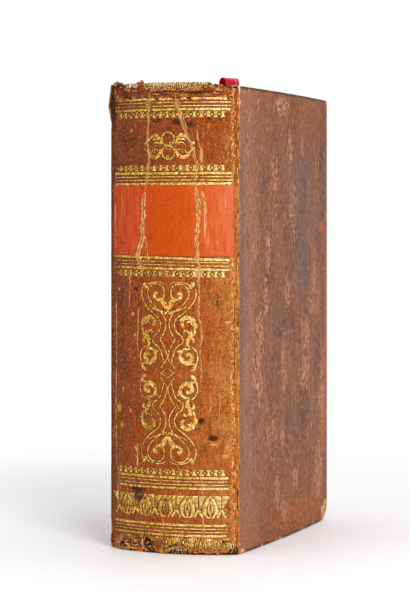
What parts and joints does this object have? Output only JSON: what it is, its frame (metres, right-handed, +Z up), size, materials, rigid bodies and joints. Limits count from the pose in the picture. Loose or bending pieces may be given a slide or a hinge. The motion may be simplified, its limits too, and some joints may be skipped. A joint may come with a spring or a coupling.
{
  "type": "antique leather-bound book",
  "caption": "Thick upright book in worn leather with a rounded gold-tooled spine, a blank red label, a ribbon marker and covers that open at their joints.",
  "frame": {"origin": "middle of the foot of the closed book, on the surface it stands on", "axes": "+Z up from tail to head, -Y out of the rounded spine, +X out of the front cover"},
  "size_m": [0.067, 0.1393, 0.2195],
  "materials": {
    "leaves": "aged rag paper, cut edges browned by dust",
    "lining_cloth": "coarse glued cloth",
    "endband_thread": "undyed linen thread sewn over a core, soiled",
    "satin_ribbon": "crimson satin with a bright sheen",
    "hemp_cord": "twisted hemp",
    "spine_leather": "chestnut calf, cracked, rubbed pale at its edges",
    "label_leather": "thin orange-red leather, cracked",
    "gold_leaf": "tooled gold leaf, rubbed away in places",
    "pasteboard": "layered grey-brown pasteboard",
    "side_leather": "stained calf, mottled and streaked grey, brown and orange",
    "endpaper": "plain laid paper, foxed"
  },
  "bodies": {
    "bound_leaves": {"text_block": "leaves", "spine_lining": "lining_cloth", "headband": "endband_thread", "tailband": "endband_thread", "ribbon_marker": "satin_ribbon", "sewing_cord_1": "hemp_cord", "sewing_cord_2": "hemp_cord", "sewing_cord_3": "hemp_cord", "sewing_cord_4": "hemp_cord", "spine_leather": "spine_leather", "title_label": "label_leather", "gilt_rules": "gold_leaf", "gilt_bead_rolls": "gold_leaf", "gilt_quatrefoil": "gold_leaf", "gilt_scrollwork": "gold_leaf", "gilt_palmette_roll": "gold_leaf", "gilt_arcade_roll": "gold_leaf"},
    "front_cover": {"front_board": "pasteboard", "front_cover_leather": "side_leather", "front_pastedown": "endpaper"},
    "back_cover": {"back_board": "pasteboard", "back_cover_leather": "side_leather", "back_pastedown": "endpaper"}
  },
  "joints": [
    {"name": "front_cover_joint", "type": "hinge", "parent": "bound_leaves", "child": "front_cover", "pos_m": [0.03215, -0.0605, 0.1075], "axis": [0, 0, -1], "range_deg": [0, 180]},
    {"name": "back_cover_joint", "type": "hinge", "parent": "bound_leaves", "child": "back_cover", "pos_m": [-0.03215, -0.0605, 0.1075], "axis": [0, 0, 1], "range_deg": [0, 180]}
  ]
}
